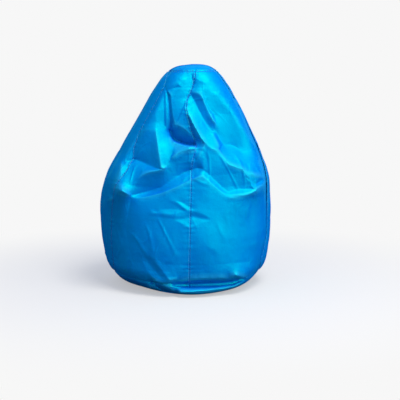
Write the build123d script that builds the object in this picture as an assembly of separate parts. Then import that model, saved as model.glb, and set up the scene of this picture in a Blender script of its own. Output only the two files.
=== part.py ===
"""Pear-shaped bean bag chair: a six-gore cloth cover with a zipped base, over a bead-filled liner.

Millimetres, +Z up. The origin is on the floor under the middle of the base, and the front faces -Y.
"""

import os
from math import asin, cos, degrees, radians, sin

from build123d import *

# Gores of the cover, named by where their middles face, going round from +X
GORE_NAMES = ["right", "back_right", "back_left", "left", "front_left", "front_right"]
SEAM_NAMES = ["back_right", "back", "back_left", "front_left", "front", "front_right"]

# Outline of the cover: its width over the middles of two gores at each level,
# with the lower levels measured up from the floor and the upper ones down from the top
HEIGHT = 1040.0
HEEL_WIDTH = 744.0
HEEL_Z = 108.0
BELLY_WIDTH = 800.0
BELLY_Z = 320.0
SHOULDER_WIDTH = 730.0
SHOULDER_Z = 560.0
NECK_WIDTH = 384.0
NECK_DROP = 140.0
CROWN_WIDTH = 266.0
CROWN_DROP = 57.0
CAP_WIDTH = 150.0
CAP_RISE = 12.0

# How far the bag leans towards +X at its top, and the share of that at the shoulder
LEAN = 26.0
SHOULDER_LEAN = 0.4

# Hanging fold of the gores, where it meets their seams: the lip under it measured up from the floor, and each
# of the valley, the ledge over it and the hollow under the neck measured up from the one before
LIP_Z = 480.0
VALLEY_RISE = 40.0
LEDGE_RISE = 100.0
HOLLOW_RISE = 90.0

# How steeply the lip, valley, ledge and hollow sag from the seams to the middle of a gore, in degrees
FOLD_SAGS = (35.0, 40.0, 25.0, 0.0)

# How far the middle of each gore stands out at its lip, valley, ledge and hollow
FOLDS = {
    "right": (2.0, -8.0, 10.0, -5.0),
    "back_right": (4.0, -18.0, 18.0, -9.0),
    "back_left": (4.0, -18.0, 18.0, -9.0),
    "left": (2.0, -8.0, 10.0, -5.0),
    "front_left": (6.0, -32.0, 38.0, -15.0),
    "front_right": (5.0, -16.0, 26.0, -12.0),
}

# Cloth, and how far the seams are drawn in behind the middles of the gores
CLOTH = 1.2
SEAM_DRAW = 8.0
SEAM_GAP = 0.3

# Double topstitching along each gore seam
STITCH_INSET = 5.0
THREAD = 0.9
THREAD_LIFT = 0.4

# Base: a flat disc with a rolled rim up to the gores, and a raised recess for the zip
FLOOR_WIDTH = 600.0
ROLL_RADIUS = 36.0
ROLL_TURN = 130.0
RECESS_END = 27.0
RECESS_WIDTH = 52.0
RECESS_DEPTH = 12.0

# Zips: the base zip and the liner zip share one section
BASE_CHAIN = 410.0
LINER_CHAIN_LESS = 70.0
ZIP_SLOT_WIDTH = 16.0
TAPE_WIDTH = 15.0
TAPE = 0.7
COIL_WIDTH = 3.0
COIL_DEPTH = 2.2
CHAIN_SLIT = 1.8
STOP_LENGTH = 4.0
STOP_WIDTH = 3.4
STOP_GAP = 0.3

# Zip sliders
SLIDER_LENGTH = 14.0
SLIDER_PLATE = 1.2
SLIDER_RUN = 0.3
SLIDER_CORNER = 2.0
SLIDER_PARK = 3.0
FLANGE = 1.0
DIVIDER_LENGTH = 3.0

# Pull tab of the base zip, on a pin held between two lugs of the slider
PIN_RADIUS = 0.8
PIN_RUN = 0.08
LUG = 1.0
LUG_WALL = 1.2
EYE_WALL = 0.9
EYE_WIDTH = 2.6
PULL_LENGTH = 26.0
PULL_WIDTH = 7.0
PULL = 1.4
PULL_RUN = 0.3
PULL_TIP_CLEAR = 0.8
PULL_HOLE = 3.2
PULL_CORNER = 2.0

# Liner and filling
LINER = 0.8
LINER_EASE = 8.0
LINER_FOOT = 24.0
LINER_FOOT_INSET = 6.0
LINER_SLOPE = 26.0
LINER_ZIP_CLEAR = 2.0
LINER_TOP_GAP = 14.0
FILL_EASE = 2.0
FILL_ZIP_CLEAR = 1.5
FILL_TOP_DROP = 180.0
FILL_DOME_RADIUS = 420.0

# Radii and levels that follow from the sizes above
HALF_GORE = 180.0 / len(GORE_NAMES)
NECK_Z = HEIGHT - NECK_DROP
CROWN_Z = HEIGHT - CROWN_DROP
CAP_SEAM_Z = HEIGHT - CAP_RISE
VALLEY_Z = LIP_Z + VALLEY_RISE
LEDGE_Z = VALLEY_Z + LEDGE_RISE
HOLLOW_Z = LEDGE_Z + HOLLOW_RISE
FILL_TOP_Z = HEIGHT - FILL_TOP_DROP
LINER_CHAIN = BASE_CHAIN - LINER_CHAIN_LESS
RECESS_LENGTH = BASE_CHAIN + 2 * RECESS_END
FLOOR_RADIUS = FLOOR_WIDTH / 2
ROLL_END = radians(ROLL_TURN - 90.0)
BASE_SEAM_RADIUS = FLOOR_RADIUS + ROLL_RADIUS * cos(ROLL_END)
BASE_SEAM_Z = ROLL_RADIUS * (1.0 + sin(ROLL_END)) + SEAM_GAP
SLIDER_ABOVE = TAPE + SLIDER_RUN + SLIDER_PLATE
SLIDER_BELOW = COIL_DEPTH + SLIDER_RUN + SLIDER_PLATE
BASE_TAPE_Z = RECESS_DEPTH + CLOTH
LINER_TAPE_Z = BASE_TAPE_Z + SLIDER_ABOVE + LINER_ZIP_CLEAR + SLIDER_BELOW
FILL_BASE_Z = LINER_TAPE_Z + SLIDER_ABOVE + FILL_ZIP_CLEAR
LINER_FOOT_Z = CLOTH + SEAM_GAP
EYE_RADIUS = PIN_RADIUS + PIN_RUN + EYE_WALL
LUG_RADIUS = PIN_RADIUS + LUG_WALL
PIN_Z = BASE_TAPE_Z - SLIDER_BELOW - PULL_RUN - EYE_RADIUS
FAR = 2 * (BELLY_WIDTH + HEIGHT)

# Radius, height and lean of the unfolded outline at each level
OUTLINE = [
    (BASE_SEAM_RADIUS, BASE_SEAM_Z, 0.0),
    (HEEL_WIDTH / 2, HEEL_Z, 0.0),
    (BELLY_WIDTH / 2, BELLY_Z, 0.0),
    (SHOULDER_WIDTH / 2, SHOULDER_Z, SHOULDER_LEAN * LEAN),
    (NECK_WIDTH / 2, NECK_Z, LEAN),
    (CROWN_WIDTH / 2, CROWN_Z, LEAN),
    (CAP_WIDTH / 2, CAP_SEAM_Z, LEAN),
]


PROFILE = Spline(*[(radius, z) for radius, z, lean in OUTLINE])


def level_at(z):
    """Radius, height and lean of the unfolded outline at a height between its levels."""
    low = 0.0
    high = 1.0
    for _ in range(40):
        middle = (low + high) / 2
        if (PROFILE @ middle).Y < z:
            low = middle
        else:
            high = middle
    for (_, below, lean), (_, above, next_lean) in zip(OUTLINE, OUTLINE[1:]):
        if below <= z <= above:
            lean_here = lean + (next_lean - lean) * (z - below) / (above - below)
    return (PROFILE @ low).X, z, lean_here


# Levels that the cloth is drawn through, with those of the hanging fold between the belly and the neck
FOLD_LEVELS = [level_at(z) for z in (LIP_Z, VALLEY_Z, LEDGE_Z, HOLLOW_Z)]
LEVELS = OUTLINE[:3] + FOLD_LEVELS + OUTLINE[4:]
SAGS = [0.0] * 3 + list(FOLD_SAGS) + [0.0] * 3


def save(shape, node):
    """Writes one node's solids."""
    export_step(shape, os.path.join("parts", node + ".step"))


def block(low, high):
    """A block between two corners."""
    size = [b - a for a, b in zip(low, high)]
    return Pos(*low) * Box(*size, align=(Align.MIN, Align.MIN, Align.MIN))


def revolved(edges):
    """A solid of revolution about Z, from a closed outline drawn as (radius, height)."""
    return revolve(Plane.XZ * make_face(edges), Axis.Z)


def halves(shape):
    """Front and back of a shape, parted by the seam gap along the X axis."""
    front = block((-FAR, -FAR, -FAR), (FAR, -SEAM_GAP / 2, FAR))
    back = block((-FAR, SEAM_GAP / 2, -FAR), (FAR, FAR, FAR))
    return {"front": shape & front, "back": shape & back}


def bulges(gore_name):
    """How far a gore's middle stands out at each level that the cloth is drawn through."""
    return [0.0] * 3 + list(FOLDS[gore_name]) + [0.0] * 3


def gore_arc(mid, gap, bulge=0.0, sag=0.0):
    """Ends and middle of a gore's outline in the plane of one level, with the gore's middle on +X."""
    seam = mid - SEAM_DRAW
    across = radians(HALF_GORE)
    end_x = seam * cos(across) + gap / 2 * sin(across)
    end_y = seam * sin(across) - gap / 2 * cos(across)
    mid_x = end_x + (mid + bulge - end_x) / cos(radians(sag))
    return (end_x, -end_y), (mid_x, 0.0), (end_x, end_y)


def level_place(mid, z, lean, facing, sag):
    """Plane of one level of the gore that faces an angle, tipped about the chord between its seams."""
    chord = gore_arc(mid, SEAM_GAP)[2][0]
    return Pos(lean, 0, z) * Rot(0, 0, facing) * Pos(chord, 0, 0) * Rot(0, sag, 0) * Pos(-chord, 0, 0)


def gore(name, facing):
    """One gore of the cover, folded, with its middle facing the given angle from +X."""
    sections = []
    for (mid, z, lean), bulge, sag in zip(LEVELS, bulges(name), SAGS):
        outer = gore_arc(mid, SEAM_GAP, bulge, sag)
        inner = gore_arc(mid - CLOTH, SEAM_GAP, bulge, sag)
        edges = [
            ThreePointArc(*outer),
            Line(outer[2], inner[2]),
            ThreePointArc(*reversed(inner)),
            Line(inner[0], outer[0]),
        ]
        sections.append(level_place(mid, z, lean, facing, sag) * make_face(edges))
    return loft(sections, ruled=True)


def stitch_row(name, facing, side):
    """One row of topstitching on the gore that faces an angle, beside its seam at side -1 or +1."""
    sections = []
    for (mid, z, lean), bulge, sag in zip(LEVELS, bulges(name), SAGS):
        _, (mid_x, _), (end_x, end_y) = gore_arc(mid, SEAM_GAP, bulge, sag)
        rise = mid_x - end_x
        radius = (end_y**2 + rise**2) / (2 * rise)
        turn = degrees(asin(end_y / radius) - STITCH_INSET / radius)
        out = radius + THREAD_LIFT + THREAD / 2
        row_place = Pos(mid_x - radius, 0, 0) * Rot(0, 0, side * turn) * Pos(out, 0, 0)
        sections.append(level_place(mid, z, lean, facing, sag) * row_place * Rectangle(THREAD, THREAD))
    return loft(sections, ruled=True)


def top_cap():
    """Lobed cap over the ends of the gores, domed up to the full height."""
    rim = CAP_WIDTH / 2
    rise = CAP_RISE - SEAM_GAP - 1.5 * CLOTH
    dome = (rim**2 + rise**2) / (2 * rise)
    shell = Pos(0, 0, HEIGHT - dome) * (Sphere(dome) - Sphere(dome - CLOTH))
    side = ThreePointArc(*gore_arc(rim, 0.0))
    sides = [Rot(0, 0, 2 * HALF_GORE * i) * side for i in range(len(GORE_NAMES))]
    column = extrude(Pos(0, 0, CAP_SEAM_Z) * make_face(sides), HEIGHT)
    return Pos(LEAN, 0, 0) * (column & shell)


def base():
    """Flat disc with its rolled rim and the raised recess that the zip lies in."""
    centre = (FLOOR_RADIUS, ROLL_RADIUS)
    outside = CenterArc(centre, ROLL_RADIUS, -90, ROLL_TURN)
    inside = CenterArc(centre, ROLL_RADIUS - CLOTH, -90, ROLL_TURN)
    dish = revolved([
        Line((0, 0), outside @ 0),
        outside,
        Line(outside @ 1, inside @ 1),
        inside,
        Line(inside @ 0, (0, CLOTH)),
        Line((0, CLOTH), (0, 0)),
    ])
    x = RECESS_LENGTH / 2
    y = RECESS_WIDTH / 2
    walls = block((-x - CLOTH, -y - CLOTH, 0), (x + CLOTH, y + CLOTH, BASE_TAPE_Z))
    hollow = block((-x, -y, -CLOTH), (x, y, RECESS_DEPTH))
    return dish + walls - hollow - zip_slot(BASE_CHAIN, BASE_TAPE_Z, CLOTH)


def zip_slot(chain, tape_z, cloth):
    """The cut in the cloth that a zip closes, long enough for its chain and its stops."""
    x = chain / 2 + STOP_LENGTH + 2 * STOP_GAP
    y = ZIP_SLOT_WIDTH / 2
    return block((-x, -y, tape_z - 2 * cloth), (x, y, tape_z + cloth))


def zip_chain(chain, tape_z):
    """Tapes, coils and stops of a zip along X whose tapes lie on the level tape_z."""
    slit = CHAIN_SLIT / 2
    stop_x = chain / 2 + STOP_GAP
    end_x = stop_x + STOP_LENGTH
    coil_z = tape_z - COIL_DEPTH
    tape = block((-end_x, slit, tape_z), (end_x, slit + TAPE_WIDTH, tape_z + TAPE))
    coil = block((-chain / 2, slit, coil_z), (chain / 2, slit + COIL_WIDTH, tape_z))
    top_stop = block((stop_x, slit, coil_z), (end_x, slit + STOP_WIDTH, tape_z))
    bottom_stop = block(
        (-end_x, -slit - STOP_WIDTH, coil_z),
        (-stop_x, slit + STOP_WIDTH, tape_z),
    )
    return {
        "tape_front": mirror(tape, Plane.XZ),
        "tape_back": tape,
        "coil_front": mirror(coil, Plane.XZ),
        "coil_back": coil,
        "top_stops": Compound(children=[top_stop, mirror(top_stop, Plane.XZ)]),
        "bottom_stop": bottom_stop,
    }


def slider_x(chain):
    """Middle of a slider parked at the closed end of its chain."""
    return chain / 2 - SLIDER_PARK - SLIDER_LENGTH / 2


def slider(chain, tape_z):
    """Slider body: two plates joined by a divider, with flanges that hold the coils in."""
    x = slider_x(chain)
    rear = x - SLIDER_LENGTH / 2
    front = x + SLIDER_LENGTH / 2
    inner = CHAIN_SLIT / 2 + COIL_WIDTH + SLIDER_RUN
    outer = inner + FLANGE
    low = tape_z - SLIDER_BELOW
    high = tape_z + SLIDER_ABOVE
    body = block((rear, -outer, low), (front, outer, high))
    body = fillet(body.edges().filter_by(Axis.Z), SLIDER_CORNER)
    tape_gap = block((-FAR, -FAR, tape_z - SLIDER_RUN), (FAR, FAR, high - SLIDER_PLATE))
    coil_gap = block((-FAR, -inner, low + SLIDER_PLATE), (FAR, inner, tape_z))
    split = CHAIN_SLIT / 2 - SLIDER_RUN
    divider = block((front - DIVIDER_LENGTH, -split, low), (front, split, high))
    return body - tape_gap - coil_gap + divider


def pull_lugs():
    """Two lugs under the base zip's slider and the pin between them."""
    x = slider_x(BASE_CHAIN)
    top = BASE_TAPE_Z - SLIDER_BELOW
    inner = EYE_WIDTH / 2 + PULL_RUN
    outer = inner + LUG
    across = Pos(x, 0, PIN_Z) * Rot(90, 0, 0)
    lugs = across * Cylinder(LUG_RADIUS, 2 * outer)
    lugs += block((x - LUG_RADIUS, -outer, PIN_Z), (x + LUG_RADIUS, outer, top))
    lugs -= block((-FAR, -inner, -FAR), (FAR, inner, top))
    return lugs + across * Cylinder(PIN_RADIUS, 2 * outer)


def pull():
    """Pull tab on the slider's pin, drooping from its eye to just above the floor."""
    wide_from = LUG_RADIUS + EYE_RADIUS
    across = Rot(90, 0, 0)
    eye = across * Cylinder(EYE_RADIUS, EYE_WIDTH)
    neck = block((-wide_from, -EYE_WIDTH / 2, -PULL / 2), (0, EYE_WIDTH / 2, PULL / 2))
    tab = block(
        (-PULL_LENGTH, -PULL_WIDTH / 2, -PULL / 2),
        (-wide_from, PULL_WIDTH / 2, PULL / 2),
    )
    tab = fillet(tab.edges().filter_by(Axis.Z), PULL_CORNER)
    tab -= Pos(PULL_HOLE - PULL_LENGTH, 0, 0) * Cylinder(PULL_HOLE / 2, 2 * PULL)
    whole = eye + neck + tab - across * Cylinder(PIN_RADIUS + PIN_RUN, 2 * EYE_WIDTH)
    droop = degrees(asin((PIN_Z - PULL / 2 - PULL_TIP_CLEAR) / PULL_LENGTH))
    return Pos(slider_x(BASE_CHAIN), 0, PIN_Z) * Rot(0, -droop, 0) * whole


def bag(inset, base_z, foot_z):
    """The liner's form, smaller by inset, raised to base_z in the middle and on a foot ring at foot_z."""
    ease = SEAM_DRAW + CLOTH + LINER_EASE + inset
    foot_out = FLOOR_RADIUS - LINER_FOOT_INSET - inset
    foot_in = FLOOR_RADIUS - LINER_FOOT_INSET - LINER_FOOT + inset
    deepest = [min(level) for level in zip(*map(bulges, GORE_NAMES))]
    around = [min(deepest[max(i - 1, 0):i + 2]) for i in range(len(LEVELS))]
    clear = [mid - ease + min(deep, 0.0) for (mid, z, lean), deep in zip(LEVELS, around)]
    heights = [z for mid, z, lean in LEVELS[:-1]] + [CAP_SEAM_Z - LINER_TOP_GAP - inset]
    leans = [lean for mid, z, lean in LEVELS]
    rings = [Pos(lean, 0, z) * Circle(radius) for radius, z, lean in zip(clear, heights, leans)]
    wall = loft(rings, ruled=True)
    wall_foot = (BASE_SEAM_RADIUS - ease, BASE_SEAM_Z)
    foot = revolved([
        Line((0, base_z), (foot_in - LINER_SLOPE, base_z)),
        Line((foot_in - LINER_SLOPE, base_z), (foot_in, foot_z)),
        Line((foot_in, foot_z), (foot_out, foot_z)),
        Line((foot_out, foot_z), wall_foot),
        Line(wall_foot, (0, BASE_SEAM_Z)),
        Line((0, BASE_SEAM_Z), (0, base_z)),
    ])
    return foot + wall


def liner():
    """Loose inner bag with a zip slot in its base."""
    outer = bag(0.0, LINER_TAPE_Z - LINER, LINER_FOOT_Z)
    inner = bag(LINER, LINER_TAPE_Z, LINER_FOOT_Z + LINER)
    return outer - inner - zip_slot(LINER_CHAIN, LINER_TAPE_Z, LINER)


def bead_fill():
    """The heap of beads inside the liner, domed on top."""
    heap = bag(LINER + FILL_EASE, FILL_BASE_Z, LINER_FOOT_Z + LINER + SEAM_GAP)
    centre_z = FILL_TOP_Z - FILL_DOME_RADIUS
    above = block((-FAR, -FAR, centre_z), (FAR, FAR, FAR))
    return heap - (above - Pos(SHOULDER_LEAN * LEAN, 0, centre_z) * Sphere(FILL_DOME_RADIUS))


def main():
    os.makedirs("parts", exist_ok=True)
    next_names = GORE_NAMES[1:] + GORE_NAMES[:1]
    for i, (gore_name, next_name, seam_name) in enumerate(zip(GORE_NAMES, next_names, SEAM_NAMES)):
        facing = 2 * HALF_GORE * i
        save(gore(gore_name, facing), "gore_" + gore_name)
        rows = [
            stitch_row(gore_name, facing, 1),
            stitch_row(next_name, facing + 2 * HALF_GORE, -1),
        ]
        save(Compound(children=rows), "topstitch_" + seam_name)
    save(top_cap(), "top_cap")
    for side, half in halves(base()).items():
        save(half, "base_" + side)
    for side, half in halves(liner()).items():
        save(half, "liner_" + side)
    for name, piece in zip_chain(BASE_CHAIN, BASE_TAPE_Z).items():
        save(piece, "zip_" + name)
    for name, piece in zip_chain(LINER_CHAIN, LINER_TAPE_Z).items():
        save(piece, "liner_zip_" + name)
    save(slider(BASE_CHAIN, BASE_TAPE_Z) + pull_lugs(), "zip_slider")
    save(slider(LINER_CHAIN, LINER_TAPE_Z), "liner_zip_slider")
    save(pull(), "zip_pull")
    save(bead_fill(), "bead_fill")


main()
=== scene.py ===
"""Pear-shaped bean bag chair in glossy azure coated nylon: its folds, seams, stitching, zips and finishes."""

from math import ceil, cos, hypot, pi, radians, sin

import bpy
import numpy as np
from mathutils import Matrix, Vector


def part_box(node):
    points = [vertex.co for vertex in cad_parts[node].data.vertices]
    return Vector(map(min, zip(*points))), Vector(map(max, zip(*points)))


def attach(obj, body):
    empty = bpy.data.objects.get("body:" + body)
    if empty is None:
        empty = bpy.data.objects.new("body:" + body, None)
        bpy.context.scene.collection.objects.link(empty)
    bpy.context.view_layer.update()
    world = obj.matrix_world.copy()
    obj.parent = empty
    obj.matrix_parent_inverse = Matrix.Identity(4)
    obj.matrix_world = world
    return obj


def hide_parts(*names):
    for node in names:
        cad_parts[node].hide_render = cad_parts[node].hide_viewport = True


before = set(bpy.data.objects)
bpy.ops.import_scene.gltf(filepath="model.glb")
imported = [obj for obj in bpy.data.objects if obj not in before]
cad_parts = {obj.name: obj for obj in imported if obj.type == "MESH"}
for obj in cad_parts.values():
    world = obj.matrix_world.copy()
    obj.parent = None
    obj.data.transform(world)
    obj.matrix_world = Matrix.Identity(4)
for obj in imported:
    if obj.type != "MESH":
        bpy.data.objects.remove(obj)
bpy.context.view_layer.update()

MM = 0.001

# Camera, set from the photograph: it looks along +Y and a little down
PICTURE_SIDE = 400
CAMERA_ELEVATION = 8.2
CAMERA_DISTANCE = 5000.0
CAMERA_AIM = (66.0, 0.0, 388.0)
CAMERA_FOCAL = 1064.0
CAMERA_SENSOR = 36.0
PIXEL = CAMERA_DISTANCE / CAMERA_FOCAL

# Outline of the stuffed cover over the middles of its gores: height and radius in millimetres
OUTLINE = [
    (0, 275), (3, 290), (12, 312), (28, 331), (52, 350), (76, 364), (100, 373), (156, 385), (213, 393),
    (270, 398), (327, 400), (384, 399), (441, 394), (498, 385), (555, 365), (611, 337), (668, 307),
    (725, 277), (782, 248), (839, 217), (896, 184), (953, 148), (972, 133), (991, 115), (1007, 93),
    (1015, 73), (1019, 50), (1021, 25), (1022, 0),
]
OUTLINE_SMOOTHING = 40
BASE_SEAM_Z = 57.0
CAP_SEAM_Z = 990.0
# How far the bag leans towards +X, as heights and sideways moves
LEAN = [(0, 0), (430, 0), (525, 8), (622, 20), (718, 26), (815, 30), (911, 31), (1040, 29)]
# Where the foot is tucked in under the bag: turn and spread in degrees, and depth in millimetres. At a
# depth below zero the foot is pushed out.
FOOT_TUCKS = [(-50, 34, 46), (72, 30, 14), (8, 20, -16)]
FOOT_TUCK_HEIGHT = 120.0

# Gores of the cover, going round from the front seam towards +X. Their seams are drawn in, most where the
# bag is wide.
GORE_NAMES = ["front_right", "right", "back_right", "back_left", "left", "front_left"]
SEAM_NAMES = ["front", "front_right", "back_right", "back", "back_left", "front_left"]
GORE_TURN = pi / 3
GORE_COLUMNS = 150
COLUMNS = 6 * GORE_COLUMNS
CLOTH_STEP = 3.0
SEAM_DRAW = 9.0
SEAM_DRAW_RADIUS = 220.0
SEAM_DRAW_HEIGHT = 60.0
SEAM_DRAW_POWER = 2.5

# Seams that the photograph shows, as pixels across and down. The shift to them fades out between two
# radii.
SEAM_PATHS = {
    "front": [
        (195, 76), (193, 84), (190, 93), (187, 99), (186, 107), (187, 113), (189, 121), (190.5, 128),
        (193, 135), (195, 142), (196, 147), (195, 152), (193, 158), (191.5, 165), (191, 172), (190.5, 190),
        (190, 210), (189.5, 240), (189, 281)],
    "front_left": [
        (169, 72), (165, 86), (159, 97), (150, 113), (139, 134), (134.5, 148), (133, 157), (130, 163),
        (126, 169.5), (121, 177), (117, 183), (115, 187), (114, 195), (113, 207), (112.3, 220), (112, 240),
        (113, 258)],
    "front_right": [
        (216, 70), (242, 101), (258, 131), (270, 161), (272, 176), (272, 190), (271, 206), (269, 240),
        (262, 262)],
}
SEAM_SHIFT_MOST = 0.45
SEAM_SHIFT_RADII = (10.0, 90.0)
SEAM_SMOOTHING = 3

# Seam lines: a narrow notch between raised allowances, with puckers along it that drift and fade
SEAM_NOTCH = 2.2
SEAM_NOTCH_WIDTH = 1.8
SEAM_END_BASE = 10.0
SEAM_END_CAP = 6.0
ALLOWANCE = 8.0
ALLOWANCE_EDGE = 2.5
ALLOWANCE_RISE = 0.6
PUCKER = 0.9
PUCKER_PITCH = 27.0
PUCKER_REACH = 20.0
PUCKER_DRIFT = 2.2
PUCKER_DRIFT_LENGTH = 173.0
PUCKER_FADE = 0.35
PUCKER_FADE_LENGTH = 91.0
PUCKER_FADE_START = 1.0
BASE_NOTCH = 9.0
BASE_NOTCH_WIDTH = 7.0
CAP_NOTCH = 3.0
CAP_NOTCH_WIDTH = 3.0

# Stitches: a row either side of each seam, of thread drawn thicker than the CAD's so that it shows. An arc
# goes by its share of the length, its lift and its thickness, the last two as shares of the thread's.
STITCH_INSET = 3.4
STITCH_PITCH = 11.0
STITCH_LENGTH = 7.4
STITCH_ARC = [(0.0, -0.55, 0.6), (0.12, 0.2, 1.0), (0.5, 0.42, 1.0), (0.88, 0.2, 1.0), (1.0, -0.55, 0.6)]
STITCH_END_ROWS = 3
CAP_STITCH_ROWS = 2
THREAD = 1.5
THREAD_SIDES = 6

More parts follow.
